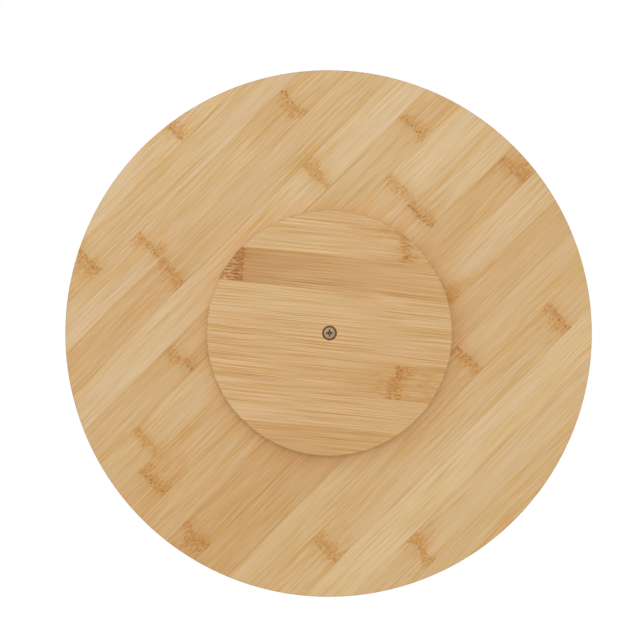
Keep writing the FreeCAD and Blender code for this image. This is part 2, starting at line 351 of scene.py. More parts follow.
class Bamboo(Shader):
    """The node group that all strips share, in millimetres.

    Its grain runs along x, and y is 0 in the middle of the strip. What more than one part of the look needs
    is worked out first.
    """

    # How far a knuckle's line bends, and how far the fibres wander and swerve, in mm.
    BEND = 3.5
    WANDER = 3
    SWERVE = 1.2

    def __init__(self):
        super().__init__(bpy.data.node_groups.new("bamboo", "ShaderNodeTree"))
        interface = self.tree.interface
        for name, kind, usual in BAMBOO_INPUTS:
            interface.new_socket(name, in_out="INPUT", socket_type=kind).default_value = usual
        for name, kind in BAMBOO_OUTPUTS:
            interface.new_socket(name, in_out="OUTPUT", socket_type=kind)
        self.given = self.node("NodeGroupInput")
        self.along, self.across, self.height = self.parts(self.given["Place"])
        self.from_seam = self.math("SUBTRACT", self.given["Half Width"], self.math("ABSOLUTE", self.across))
        # The seed moves the place far off, so that no two strips share their grain.
        far_off = self.scaled(SEED_STEP, self.given["Seed"])
        self.place = self.vector("ADD", self.given["Place"], far_off)
        self.find_knuckle()
        self.lay_fibres()
        self.shade = self.strip_shade()
        self.pores = self.knuckle_pores()

    def find_knuckle(self):
        """How far it is to the nearest knuckle, whose line bends on its way across the strip."""
        from_first = self.math("SUBTRACT", self.along, self.given["First Knuckle"])
        from_second = self.math("SUBTRACT", self.along, self.given["Second Knuckle"])
        is_second = self.math("LESS_THAN", self.math("ABSOLUTE", from_second),
                              self.math("ABSOLUTE", from_first))
        bend = self.times(self.swing(self.noise(self.place, 0.004, 0.13, 3, 0.65)), self.BEND)
        self.line = self.math("ADD", self.choose(is_second, from_first, from_second), bend)
        self.distance = self.math("ABSOLUTE", self.line)
        self.band = self.step(self.distance, 1, 7, 1, 0)
        # Some knuckles have more of a patch, and some have more pores.
        self.sort = self.noise(self.place, 0.011, 0.02, 0)

    def lay_fibres(self):
        """The fibres wander gently, and swerve where they pass a knuckle. Finer threads are longer too."""
        wander = self.times(self.swing(self.noise(self.place, 0.014, 0.05)), self.WANDER)
        swerve = self.times(self.swing(self.noise(self.place, 0.22, 0.35, 1)), self.SWERVE)
        sideways = self.plus(self.times(wander, self.given["Wander"]), swerve, self.band)
        self.fibres = self.vector("ADD", self.place, self.joined(0, sideways, 0))
        fineness = self.given["Fineness"]
        drawn_out = self.joined(self.math("DIVIDE", 1, fineness), fineness, fineness)
        self.threads = self.vector("MULTIPLY", self.fibres, drawn_out)
        self.fine = self.step(self.noise(self.threads, 0.030, 1.30, 2, 0.65), 0.30, 0.70)
        self.streaks = self.noise(self.fibres, 0.014, 0.70, 2, 0.6)
        self.broad = self.noise(self.fibres, 0.006, 0.07, 1)

    def grain_lines(self):
        """Fine fibres everywhere, with golden and pale lines here and there."""
        golden = self.step(self.noise(self.threads, 0.028, 1.15, 1), 0.52, 0.64)
        pale = self.step(self.noise(self.threads, 0.028, 1.05, 1), 0.36, 0.46, 1, 0)
        lively = self.step(self.noise(self.place, 0.012, 0.07, 1), 0.35, 0.62, 0.6, 1.05)
        lines = self.plus(self.times(golden, -0.13), self.swing(self.fine), 0.31)
        lines = self.plus(lines, pale, 0.14)
        return self.times(lines, lively, self.given["Lines"])

    def golden_edge(self):
        """Here and there a strip is golden along its seam."""
        ragged = self.plus(self.from_seam, self.swing(self.streaks), 2)
        here = self.step(self.noise(self.place, 0.009, 0.06, 1), 0.50, 0.60)
        return self.times(self.step(ragged, 0.3, 1.9, 1, 0), here)

    def grain_tone(self, lines):
        """From 0, the darkest and most golden fibres, to 1, the palest."""
        medium = self.noise(self.fibres, 0.009, 0.24, 2, 0.5)
        tone = self.plus(self.times(self.swing(medium), 0.20), self.swing(self.streaks), 0.20)
        tone = self.plus(tone, self.swing(self.broad), 0.29)
        flames = self.step(self.noise(self.fibres, 0.024, 0.75, 1), 0.50, 0.64)
        tone = self.plus(tone, self.times(flames, self.given["Flame"]), -0.3)
        tone = self.plus(self.plus(0.5, lines, 0.47), tone, self.given["Contrast"])
        leaning = self.math("DIVIDE", self.across, self.given["Half Width"])
        tone = self.plus(tone, self.times(leaning, self.given["Lean"]), 0.3)
        return self.plus(tone, self.golden_edge(), -0.16)

    def strip_shade(self):
        """The strip's own shade, which goes over from one to another on the way along the strip."""
        way = self.math("DIVIDE", self.along, self.given["Reach"])
        way = self.plus(way, self.swing(self.broad), 0.6)
        return self.mix(self.step(way, -0.8, 0.8), self.given["Shade"], self.given["Far Shade"])

    def tinted(self, tint):
        """The strip's shade times a tint."""
        return self.mix(1, self.shade, tint, "MULTIPLY")

    def grain_colour(self):
        """The strip's shade with its grain, its fine lines and its golden patches."""
        lines = self.grain_lines()
        colour = self.tinted(self.ramp(self.grain_tone(lines), GRAIN_TINTS))
        colour = self.scaled(colour, self.plus(1, lines, LINE_STRENGTH))
        golden = self.swing(self.noise(self.threads, 0.02, 0.45, 3, 0.65))
        golden = self.times(golden, self.given["Golden"])
        warmth = self.joined(self.plus(1, golden, 0.12), 1, self.math("SUBTRACT", 1, golden))
        return self.vector("MULTIPLY", colour, warmth)

    def knuckle_glow(self, nearness):
        """A glow along the fibres, which reaches further from a bold knuckle."""
        reach = self.plus(12, self.given["Bold"], 25)
        fading = self.step(self.math("DIVIDE", nearness, reach), 0.05, 1, 1, 0)
        return self.times(fading, self.step(self.streaks, 0.35, 0.65, 1, 0.1))

    def knuckle_clouds(self, nearness):
        """Brown clouds beside a knuckle that is neither faint nor the boldest."""
        bold = self.given["Bold"]
        clouds = self.step(self.noise(self.fibres, 0.14, 0.32, 2), 0.50, 0.62)
        return self.times(clouds, self.step(nearness, 2, 17, 1, 0),
                          self.step(bold, 0.1, 0.5), self.step(bold, 0.6, 0.9, 1, 0))

    def knuckle_patch(self, nearness):
        """A ragged band along the knuckle's line, which comes and goes where the knuckle isn't bold."""
        bold = self.given["Bold"]
        fitful = self.step(self.noise(self.place, 0.02, 0.16, 1), 0.30, 0.60, 0.5, 1)
        fitful = self.times(fitful, self.step(self.sort, 0.36, 0.56, 0.55, 1))
        strength = self.math("MAXIMUM", fitful, self.step(bold, 0, 0.4))
        ragged = self.plus(nearness, self.swing(self.noise(self.fibres, 0.05, 1.2, 1, 0.6)), 3.6)
        width = self.times(bold, self.math("SUBTRACT", 1, bold), 4.5)
        return self.times(self.step(self.math("SUBTRACT", ragged, width), 0.7, 2.3, 1, 0), strength)

    def knuckle_dashes(self, block):
        """Short dashes along the grain, dark and pale, with a darker row at the end of a bold block."""
        bold = self.given["Bold"]
        length = self.choose(bold, 0.50, 0.24)
        place = self.joined(self.times(self.along, length), self.times(self.across, 1.15),
                            self.given["Seed"])
        dashes = self.add("TexNoise", {"Vector": place, "Scale": 1, "Detail": 1.5, "Roughness": 0.6})
        dashes = self.plus(0.5, self.math("SUBTRACT", dashes, 0.5), self.plus(1, bold, 0.7))
        line_end = self.times(self.step(self.line, -2.5, -1), block)
        dashes = self.plus(dashes, line_end, -0.09)
        return self.plus(dashes, block, 0.04)

    def knuckle_pores(self):
        """A row of dark pores along the knuckle's line."""
        place = self.vector("MULTIPLY", self.fibres, (0.55, 0.72, 1))
        cells = self.node("ShaderNodeTexVoronoi", {"Vector": place, "Scale": 1}, voronoi_dimensions="2D")
        chosen = self.math("GREATER_THAN", self.parts(cells["Color"])[0], 0.4)
        return self.times(self.step(cells["Distance"], 0.24, 0.42, 1, 0), chosen,
                          self.step(self.distance, 0.7, 1.7, 1, 0),
                          self.step(self.sort, 0.44, 0.60, 1, 0.25))

    def knuckle_colour(self, colour):
        """A knuckle glows along the fibres, further on one side. It has a mottled patch and a row of pores.

        The boldest has a dark block as well.
        """
        bold = self.given["Bold"]
        side = self.step(self.noise(self.place, 0.017, 0.03, 0), 0.40, 0.60, -0.6, 0.6)
        nearness = self.plus(self.distance, self.line, self.times(side, -1))
        block = self.times(self.step(self.line, -10, -6), self.step(self.line, 3.4, 4.4, 1, 0),
                           self.step(bold, 0.5, 1))
        mottled = self.math("MAXIMUM", self.knuckle_patch(nearness), block)
        dashes = self.knuckle_dashes(block)
        least = self.step(bold, 0.3, 0.9, 0.25, 0.55)
        stain = self.times(mottled, self.step(dashes, 0.62, 0.42, least, 1))
        stain = self.plus(stain, self.knuckle_glow(nearness), 0.38)
        stain = self.plus(stain, self.knuckle_clouds(nearness), 0.5)
        colour = self.mix(self.math("MINIMUM", stain, 1), colour, self.tinted(KNUCKLE_TINT))
        dark = self.times(mottled, self.step(dashes, 0.44, 0.34), self.step(bold, 0.5, 0.9, 0.35, 0.85))
        colour = self.mix(dark, colour, self.tinted(KNUCKLE_DARK))
        pale = self.times(mottled, self.step(dashes, 0.57, 0.66), self.step(bold, 0.3, 0.9, 0.4, 0.8))
        colour = self.mix(pale, colour, KNUCKLE_PALE)
        return self.mix(self.times(self.pores, 0.9), colour, self.tinted(KNUCKLE_DARK))

    def cut_colour(self, colour):
        """Where the strip is cut across, its bundles of fibre show as dark dots."""
        spread = self.vector("MULTIPLY", self.fibres, (0.02, 1.25, 1.25))
        dots = self.step(self.add("TexVoronoi", {"Vector": spread, "Scale": 1}), 0.16, 0.34, 0.6, 0)
        cut = self.mix(dots, self.mix(1, colour, CUT_TINT, "MULTIPLY"), self.tinted(CUT_DARK))
        return self.mix(self.given["Cut Across"], colour, cut)

    def glue_lines(self):
        """Glue shows between neighbouring strips, and between this ply and the next."""
        patchy = self.step(self.noise(self.place, 0.02, 0.2, 1), 0.42, 0.66, 0.1, 0.8)
        seam = self.times(self.step(self.from_seam, 0.08, 0.45, 1, 0), patchy)
        from_ply = self.math("MINIMUM", self.math("SUBTRACT", self.given["Ply High"], self.height),
                             self.math("SUBTRACT", self.height, self.given["Ply Low"]))
        return self.math("MAXIMUM", seam, self.step(from_ply, 0.04, 0.22, 0.9, 0))


def make_bamboo():
    """Builds the node group: grain, knuckles, cut ends and glue, and the polish and relief they give."""
    bamboo = Bamboo()
    colour = bamboo.cut_colour(bamboo.knuckle_colour(bamboo.grain_colour()))
    glue = bamboo.glue_lines()
    rough = bamboo.plus(0.52, bamboo.fine, -0.12)
    rough = bamboo.plus(rough, bamboo.band, 0.08)
    relief = bamboo.plus(bamboo.times(bamboo.fine, 0.5), bamboo.streaks, 0.8)
    relief = bamboo.plus(relief, glue, -0.6)
    bamboo.node("NodeGroupOutput", {
        "Color": bamboo.mix(glue, colour, bamboo.tinted(SEAM_TINT)),
        "Roughness": bamboo.plus(rough, bamboo.given["Cut Across"], 0.15),
        "Relief": bamboo.plus(relief, bamboo.pores, -0.4),
    })


CHAMFER = 0.5  # of a board's lower rim, in mm
RUBBED = 1.8  # how much more than outward the chamfer faces down
HAIR = 0.01  # in mm, so that a face doesn't count as rounded by its very edge


def rounded_rim(shader, board):
    """The way a board's surface faces, with the corner of its upper rim rounded off."""
    faced = shader.add("TexCoord", out="Normal")
    x, y, z = shader.parts(shader.place_in_mm())
    outward = shader.joined(x, y, 0)
    past_side = shader.math("SUBTRACT", shader.length(outward), board.radius - board.corner)
    past_face = shader.math("SUBTRACT", z, board.high - board.corner)
    sideways_unit = shader.vector("NORMALIZE", outward)
    sideways = shader.scaled(sideways_unit, past_side)
    rounded = shader.vector("NORMALIZE", shader.vector("ADD", sideways, shader.joined(0, 0, past_face)))
    in_corner = shader.times(shader.math("GREATER_THAN", past_side, HAIR),
                             shader.math("GREATER_THAN", past_face, HAIR))
    normal = shader.choose_vector(in_corner, faced, rounded)
    # The small chamfer below is rubbed soft: it faces nearly as the underside does.
    soft = shader.vector("NORMALIZE", shader.vector("ADD", sideways_unit, (0, 0, -RUBBED)))
    on_chamfer = shader.times(shader.math("LESS_THAN", z, board.low + CHAMFER - HAIR),
                              shader.math("GREATER_THAN", shader.length(outward), board.radius - CHAMFER))
    normal = shader.choose_vector(on_chamfer, normal, soft)
    return shader.add("VectorTransform", {0: normal}, vector_type="NORMAL", convert_from="OBJECT",
                      convert_to="WORLD")


def painted_warm_shade_beside_base(shader, colour):
    """Beside the base the tray gets a painted warm shade: a warmer tint, fading outward, that stands in for
    shade and the light bounced off the base.
    """
    radius = shader.from_axis(shader.place_in_mm())
    beside = shader.step(radius, BASE.radius, BASE.radius + PAINTED_WARM_SHADE_WIDTH, 1, 0)
    return shader.mix(beside, colour, shader.mix(1, colour, PAINTED_WARM_SHADE_TINT, "MULTIPLY"))


def bamboo_material(name, board, grain, values, middle=0, own_strips=None):
    """Bamboo for a strip, whose middle is given across the grain, or for a ply that own_strips divides."""
    material, shader, surface = new_material(name)
    place = shader.add("Mapping", {
        "Vector": shader.add("TexCoord", out="Object"),
        "Location": (0, -middle, 0),
        "Rotation": (0, 0, -grain),
        "Scale": (1 / MM, 1 / MM, 1 / MM),
    })
    bamboo = shader.tree.nodes.new("ShaderNodeGroup")
    bamboo.node_tree = bpy.data.node_groups["bamboo"]
    shader.feed(bamboo.inputs["Place"], place)
    # A face that looks along the grain is cut across it.
    grain_way = (math.cos(grain), math.sin(grain), 0)
    facing = shader.math("ABSOLUTE", shader.dot(shader.add("TexCoord", out="Normal"), grain_way))
    shader.feed(bamboo.inputs["Cut Across"], shader.step(facing, 0.72, 0.92))
    for key, value in values.items():
        shader.feed(bamboo.inputs[key], value)
    if own_strips is not None:
        own_strips(shader, place, bamboo.inputs)
    colour = bamboo.outputs["Color"]
    # The tray's underside gets the painted warm shade beside the base.
    if name.startswith("tray_underside"):
        colour = painted_warm_shade_beside_base(shader, colour)
    shader.feed(surface["Base Color"], colour)
    shader.feed(surface["Roughness"], bamboo.outputs["Roughness"])
    bumped = shader.add("Bump", {
        "Strength": 0.35,
        "Distance": 0.06 * MM,
        "Height": bamboo.outputs["Relief"],
        "Normal": rounded_rim(shader, board),
    })
    shader.feed(surface["Normal"], bumped)
    surface["Specular IOR Level"].default_value = 0.35
    return material


OWN_SEED_STEP = 1.37  # between the seeds of one ply's strips, which so differ from those of a face's
KNUCKLE_FARTHEST = 120  # from the middle of such a strip, in mm


def divide_into_strips(seam, seed):
    """Fills in a whole ply's strips: where each one's middle is, its shade and its own grain."""
    def fill(shader, place, bamboo):
        along, across, height = shader.parts(place)
        count = shader.math("DIVIDE", shader.math("SUBTRACT", across, seam), STRIP_WIDTH)
        number = shader.math("FLOOR", count)
        within = shader.math("SUBTRACT", shader.math("FRACT", count), 0.5)
        shader.feed(bamboo["Place"], shader.joined(along, shader.times(within, STRIP_WIDTH), height))
        shader.feed(bamboo["Seed"], shader.plus(seed, number, OWN_SEED_STEP))
        luck = shader.add("TexWhiteNoise", {"W": shader.math("ADD", number, seed)}, noise_dimensions="1D")
        tone = shader.mix(luck, SHADES["amber"], SHADES["pale"])
        shader.feed(bamboo["Shade"], tone)
        shader.feed(bamboo["Far Shade"], tone)
        shader.feed(bamboo["First Knuckle"], shader.plus(-KNUCKLE_FARTHEST, luck, 2 * KNUCKLE_FARTHEST))

    return fill


def put_on(name, material):
    """Gives a CAD node its finish."""
    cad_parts[name].material_slots[0].material = material


# How the grain of a face differs from the usual: see BAMBOO_INPUTS.
TRAY_LOOK = {"Contrast": 0.75, "Lines": 1.3, "Wander": 0.9, "Flame": 0.2, "Golden": 0.2}
BASE_LOOK = {"Contrast": 0.42, "Lines": 3.1, "Fineness": 1.8, "Wander": 0.35, "Flame": 0.25, "Golden": 0.26}
PLY_LOOK = {"Contrast": 1.1, "Wander": 1.0}

# Where the next ply would begin on a face that is open to the air and so has no glue line, in mm.
OPEN_BELOW = -1000
OPEN_ABOVE = 1000


def finish_strips(face, board, grain, strips, ply, look, first_seed):
    """Gives each strip of a face its own bamboo. ply is the pair of heights that they lie between."""
    names = sorted(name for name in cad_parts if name.startswith(face + "_strip_"))
    for number, (name, strip) in enumerate(zip(names, strips)):
        low, high = reach_across(name, grain)
        knuckles = strip.knuckles + (NO_KNUCKLE, NO_KNUCKLE)
        values = {
            "Shade": SHADES[strip.shade],
            "Far Shade": SHADES[strip.far_shade],
            "Reach": board.radius,
            "Seed": first_seed + number,
            "Half Width": (high - low) / 2,
            "Ply Low": ply[0],
            "Ply High": ply[1],
            "Lean": strip.lean,
            "First Knuckle": knuckles[0],
            "Second Knuckle": knuckles[1],
            "Bold": strip.bold,
        }
        material = bamboo_material(name + "_bamboo", board, grain, {**values, **look}, (low + high) / 2)
        put_on(name, material)


def finish_ply(name, board, grain, seam, seed):
    """Gives a ply that is one solid its own bamboo, divided into strips."""
    low, high = heights(name)
    values = {"Ply Low": low, "Ply High": high, **PLY_LOOK}
    own_strips = divide_into_strips(seam, seed)
    put_on(name, bamboo_material(name + "_bamboo", board, grain, values, own_strips=own_strips))


def finish_boards():
    """Each face and each ply has its own seeds, so that no grain comes twice."""
    make_bamboo()
    tray_core = heights("tray_core_ply")
    base_core = heights("base_core_ply")
    finish_strips("tray_underside", TRAY, TRAY_GRAIN, TRAY_UNDERSIDE, (OPEN_BELOW, tray_core[0]),
                  TRAY_LOOK, first_seed=1)
    finish_strips("tray_top", TRAY, TRAY_GRAIN, TRAY_TOP, (tray_core[1], OPEN_ABOVE),
                  TRAY_LOOK, first_seed=31)
    finish_strips("base_underside", BASE, BASE_GRAIN, BASE_UNDERSIDE, (OPEN_BELOW, base_core[0]),
                  BASE_LOOK, first_seed=61)
    finish_ply("tray_core_ply", TRAY, TRAY_GRAIN + CROSSWISE, TRAY_SEAM, seed=81)
    finish_ply("base_core_ply", BASE, BASE_GRAIN + CROSSWISE, BASE_SEAM, seed=91)
    finish_ply("base_top_ply", BASE, BASE_GRAIN, BASE_SEAM, seed=101)


# ---------------------------------------------------------------- metal and nylon

SOIL = linear(152, 138, 95)
DULLED = 0.86  # how bright metal is where it has clouded over
FINE_RELIEF = 0.02 * MM
# Where old polish and dust lie in a recess: above a height and within a radius, in mm.
Soiled = namedtuple("Soiled", "above within")
SOIL_EDGE = 0.2  # how far it takes to fade out sideways, in mm
SOIL_DEPTH = 0.7  # how deep in the recess it is at its thickest, in mm


def metal(name, colour, roughness, scratches, bump, soiled=None):
    """Bare or plated metal, with faint clouds in its colour and so many fine scratches to a millimetre."""
    material, shader, surface = new_material(name)
    place = shader.place_in_mm()
    clouds = shader.noise(place, 0.9, 0.9, 3, 0.6)
    dull = tuple(DULLED * value for value in colour[:3]) + (1,)
    paint = shader.mix(shader.step(clouds, 0.3, 0.7), dull, colour)
    if soiled is not None:
        within = shader.step(shader.from_axis(place), soiled.within, soiled.within + SOIL_EDGE, 1, 0)
        above = shader.step(shader.parts(place)[2], soiled.above, soiled.above + SOIL_DEPTH)
        paint = shader.mix(shader.times(within, above), paint, SOIL)
    fine = shader.noise(place, scratches, scratches * 6, 2, 0.7)
    scratched = shader.add("Bump", {"Strength": bump, "Distance": FINE_RELIEF, "Height": fine})
    shader.feed(surface["Base Color"], paint)
    shader.feed(surface["Roughness"], shader.plus(roughness - 0.1, fine, 0.2))
    shader.feed(surface["Normal"], scratched)
    surface["Metallic"].default_value = 1
    return material


def nylon():
    """Moulded natural nylon: milky and slightly waxy, with a fine moulded grain."""
    material, shader, surface = new_material("nylon")
    place = shader.place_in_mm()
    clouds = shader.noise(place, 0.15, 0.15, 2)
    grain = shader.noise(place, 6, 6, 2)
    grained = shader.add("Bump", {"Strength": 0.2, "Distance": FINE_RELIEF, "Height": grain})
    shader.feed(surface["Base Color"], shader.mix(clouds, linear(226, 222, 208), linear(238, 235, 224)))
    shader.feed(surface["Roughness"], shader.plus(0.34, grain, 0.16))
    shader.feed(surface["Normal"], grained)
    surface["Subsurface Weight"].default_value = 0.15
    surface["Subsurface Scale"].default_value = 1 * MM
    return material


def finish_bearing():
    """The races and balls are polished, the washer is darkened and the sleeve is as it was turned."""
    races = metal("race_steel", linear(176, 178, 180), roughness=0.30, scratches=0.6, bump=0.15)
    balls = metal("ball_steel", linear(205, 207, 210), roughness=0.12, scratches=0.3, bump=0.02)
    washer = metal("washer_steel", linear(122, 79, 44), roughness=0.5, scratches=1.2, bump=0.25)
    sleeve = metal("sleeve_steel", linear(170, 168, 160), roughness=0.30, scratches=1.2, bump=0.15)
    white = nylon()
    put_on("lower_race", races)
    put_on("upper_race", races)
    put_on("bearing_balls", balls)
    put_on("screw_washer", washer)
    put_on("distance_sleeve", sleeve)
    put_on("ball_cage", white)
    put_on("base_bush", white)


# ---------------------------------------------------------------- the pivot screw

# Lengths in mm, on the screw's own axis.
HEAD_RADIUS = 3.5
HEAD_HEIGHT = 2.2
HEAD_ROUNDING = 0.45
CROWN = [(0, 0), (1.2, 0.02), (2.2, 0.10)]  # radius and height of the domed face
CROWN_EDGE = 0.16  # where the head's rounding begins
EASED_EDGE = 0.05
HEAD_BEVEL = 0.1  # where the head's side meets its underside
SHANK_RADIUS = 1.75
PLAIN_SHANK = 3.5
SHANK_TAPER = 0.5  # from the shank to the core
THREAD_CORE = 1.2
THREAD_MIDDLE = 1.25  # the radius that the ridge winds along
THREAD_RIDGE = 0.45  # the radius of the ridge itself
THREAD_SHORT = 0.4  # how far before the point the thread ends
THREAD_PITCH = 1.4
POINT_LENGTH = 3.5
RECESS_DEPTH = 2.0
# How deep, how far across and how wide in the wing the recess is, from before its mouth to its floor.
RECESS_LEVELS = [(-0.3, 4.4, 1.15), (0.0, 4.3, 1.1), (0.7, 3.8, 0.87), (1.7, 1.3, 0.43)]
SCREW_TURN = math.radians(-5.6)


def turned(profile, segments):
    """A closed solid turned about Z from (radius, height) corners, whose ends lie on the axis."""
    work = bmesh.new()
    rings = []
    for radius, height in profile:
        if radius == 0:
            rings.append([work.verts.new((0, 0, height))])
            continue
        angles = [2 * math.pi * step / segments for step in range(segments)]
        rings.append([work.verts.new((radius * math.cos(a), radius * math.sin(a), height)) for a in angles])
    for lower, upper in zip(rings, rings[1:]):
        for step in range(segments):
            onward = (step + 1) % segments
            corners = [lower[step % len(lower)], lower[onward % len(lower)],
                       upper[onward % len(upper)], upper[step % len(upper)]]
            work.faces.new(dict.fromkeys(corners))
    bmesh.ops.recalc_face_normals(work, faces=work.faces)
    return work


def arc(centre, radius, start, end, steps):
    """Points on an arc in a plane, from one angle to another in degrees."""
    angles = [math.radians(start + (end - start) * step / steps) for step in range(steps + 1)]
    return [(centre[0] + radius * math.cos(a), centre[1] + radius * math.sin(a)) for a in angles]


def cross_outline(span, wing):
    """A cross seen from above, whose arms narrow to rounded tips, counterclockwise."""
    half = wing / 2
    hollow = 0.35 * wing
    tip = 0.26 * wing
    arm = arc((half + hollow, -half - hollow), hollow, 180, 100, steps=4)
    arm += arc((span / 2 - tip, 0), tip, -80, 80, steps=6)
    points = []
    for quarter in range(4):
        turn = Matrix.Rotation(quarter * math.pi / 2, 2)
        points += [turn @ Vector(point) for point in arm]
    return points


def recess_cutter(mouth):
    """The driver's tip, pointing up from the mouth: steep wings that run in to a narrow point."""
    work = bmesh.new()
    rings = []
    for depth, span, wing in RECESS_LEVELS:
        rings.append([work.verts.new((*point, mouth + depth)) for point in cross_outline(span, wing)])
    count = len(rings[0])
    for lower, upper in zip(rings, rings[1:]):
        for step in range(count):
            onward = (step + 1) % count
            work.faces.new((lower[step], lower[onward], upper[onward], upper[step]))
    work.faces.new(reversed(rings[0]))
    tip = work.verts.new((0, 0, mouth + RECESS_DEPTH))
    for step in range(count):
        work.faces.new((rings[-1][step], rings[-1][(step + 1) % count], tip))
    bmesh.ops.recalc_face_normals(work, faces=work.faces)
    return work


def as_object(work, name):
    """An object made of a mesh being worked on, which is then done with."""
    mesh = bpy.data.meshes.new(name)
    work.to_mesh(mesh)
    work.free()
    made = bpy.data.objects.new(name, mesh)
    bpy.context.scene.collection.objects.link(made)
    return made


def settled(made, name):
    """Turns an object and its modifiers into a plain mesh piece, and removes the original."""
    graph = bpy.context.evaluated_depsgraph_get()
    mesh = bpy.data.meshes.new_from_object(made.evaluated_get(graph), depsgraph=graph)
    bpy.data.objects.remove(made)
    piece = bpy.data.objects.new(name, mesh)
    mesh.name = name
    bpy.context.scene.collection.objects.link(piece)
    return piece


def thread_tree():
    """Geometry nodes: a ridge that winds up a screw's core and runs out towards its point."""
    shape = Tree(bpy.data.node_groups.new("thread", "GeometryNodeTree"))
    interface = shape.tree.interface
    interface.new_socket("Geometry", in_out="OUTPUT", socket_type="NodeSocketGeometry")
    for name in ("Core Radius", "Ridge", "Length", "Turns", "Run Out"):
        interface.new_socket(name, in_out="INPUT", socket_type="NodeSocketFloat")
    interface.new_socket("Finish", in_out="INPUT", socket_type="NodeSocketMaterial")
    given = shape.node("NodeGroupInput")
    winding = shape.node("GeometryNodeCurveSpiral", {
        "Resolution": 40,
        "Rotations": given["Turns"],
        "Start Radius": given["Core Radius"],
        "End Radius": given["Core Radius"],
        "Height": given["Length"],
    })
    # Over the last stretch the winding closes in on the axis, as the core does.
    closing = shape.node("ShaderNodeMapRange", {
        "Value": shape.node("GeometryNodeSplineParameter")["Factor"],
        "From Min": given["Run Out"],
        "To Min": 1,
        "To Max": 0.1,
    })["Result"]
    flat = shape.node("ShaderNodeCombineXYZ", {"X": closing, "Y": closing, "Z": 1})["Vector"]
    place = shape.node("GeometryNodeInputPosition")["Position"]
    nearer = shape.node("ShaderNodeVectorMath", {0: place, 1: flat}, operation="MULTIPLY")["Vector"]
    moved = shape.node("GeometryNodeSetPosition", {"Geometry": winding["Curve"], "Position": nearer})
    ridge = shape.node("GeometryNodeCurvePrimitiveCircle", {"Resolution": 3, "Radius": given["Ridge"]})
    swept = shape.node("GeometryNodeCurveToMesh", {
        "Curve": moved["Geometry"],
        "Profile Curve": ridge["Curve"],
        "Fill Caps": True,
    })
    real = shape.node("GeometryNodeRealizeInstances", {"Geometry": swept["Mesh"]})
    finished = shape.node("GeometryNodeSetMaterial", {
        "Geometry": real["Geometry"],
        "Material": given["Finish"],
    })
    shape.node("NodeGroupOutput", {"Geometry": finished["Geometry"]})
    return shape.tree


def set_input(modifier, name, value):
    """Sets a Geometry Nodes input by its name."""
    sockets = modifier.node_group.interface.items_tree
    socket = next(item for item in sockets if item.name == name and item.in_out == "INPUT")
    modifier[socket.identifier] = value


def screw_blank(low, high):
    """The pan-head screw before its recess and its thread: a head, a plain neck and a core with a point."""
    under_head = low + HEAD_HEIGHT
    thread_start = under_head + PLAIN_SHANK
    rounding = (HEAD_RADIUS - HEAD_ROUNDING, low + CROWN_EDGE + HEAD_ROUNDING)
    profile = [(radius, low + height) for radius, height in CROWN]
    profile += arc(rounding, HEAD_ROUNDING, -90, 0, steps=8)
    profile += [(HEAD_RADIUS, under_head - HEAD_BEVEL), (HEAD_RADIUS - HEAD_BEVEL, under_head)]
    profile += [(SHANK_RADIUS, under_head), (SHANK_RADIUS, thread_start - SHANK_TAPER)]
    profile += [(THREAD_CORE, thread_start), (THREAD_CORE, high - POINT_LENGTH), (0, high)]
    return as_object(turned(profile, segments=96), "screw_blank")


def cut_screw(low, high):
    """Sinks the recess in the blank's head and eases its edges."""
    blank = screw_blank(low, high)
    cutter = as_object(recess_cutter(low), "recess_cutter")
    cut = blank.modifiers.new("recess", "BOOLEAN")
    cut.operation = "DIFFERENCE"
    cut.solver = "EXACT"
    cut.object = cutter
    eased = blank.modifiers.new("eased", "BEVEL")
    eased.width = EASED_EDGE
    eased.segments = 2
    eased.limit_method = "ANGLE"
    eased.angle_limit = math.radians(40)
    screw = settled(blank, "pivot_screw_detailed")
    bpy.data.objects.remove(cutter)
    return screw


def wind_thread(low, high, finish):
    """Winds the thread from the plain neck to near the point."""
    start = low + HEAD_HEIGHT + PLAIN_SHANK
    length = high - start
    host = as_object(bmesh.new(), "thread_host")
    winding = host.modifiers.new("thread", "NODES")
    winding.node_group = thread_tree()
    set_input(winding, "Core Radius", THREAD_MIDDLE)
    set_input(winding, "Ridge", THREAD_RIDGE)
    set_input(winding, "Length", length - THREAD_SHORT)
    set_input(winding, "Turns", (length - THREAD_SHORT) / THREAD_PITCH)
    set_input(winding, "Run Out", (length - POINT_LENGTH) / length)
    set_input(winding, "Finish", finish)
    thread = settled(host, "screw_thread")
    thread.data.transform(Matrix.Translation((0, 0, start)))
    return thread


def make_screw():
    """The screw and its thread, each a piece at full size, turned with the recess."""
    low, high = heights("pivot_screw")
    finish = metal("plated_steel", linear(134, 117, 93), roughness=0.55, scratches=2.5, bump=0.3,
                   soiled=Soiled(above=low + 0.15, within=2.2))
    place = Matrix.Scale(MM, 4) @ Matrix.Rotation(SCREW_TURN, 4, "Z")
    for piece in (cut_screw(low, high), wind_thread(low, high, finish)):
        piece.data.transform(place)
        piece.data.materials.clear()
        piece.data.materials.append(finish)
        piece.data.shade_smooth()
        piece.data.set_sharp_from_angle(angle=math.radians(30))
        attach(piece, "tray")
        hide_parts("pivot_screw")


# ---------------------------------------------------------------- floor, light and view

FLOOR_RADIUS = 4  # in metres, as are the distances from which and to which it fades out
FLOOR_FADES = (0.8, 2.4)
FLOOR_DROP = 0.1 * MM  # below the base, so that they don't share a plane
FLOOR_SHARE = 0.35  # how much of the light from below comes through to what lights the floor


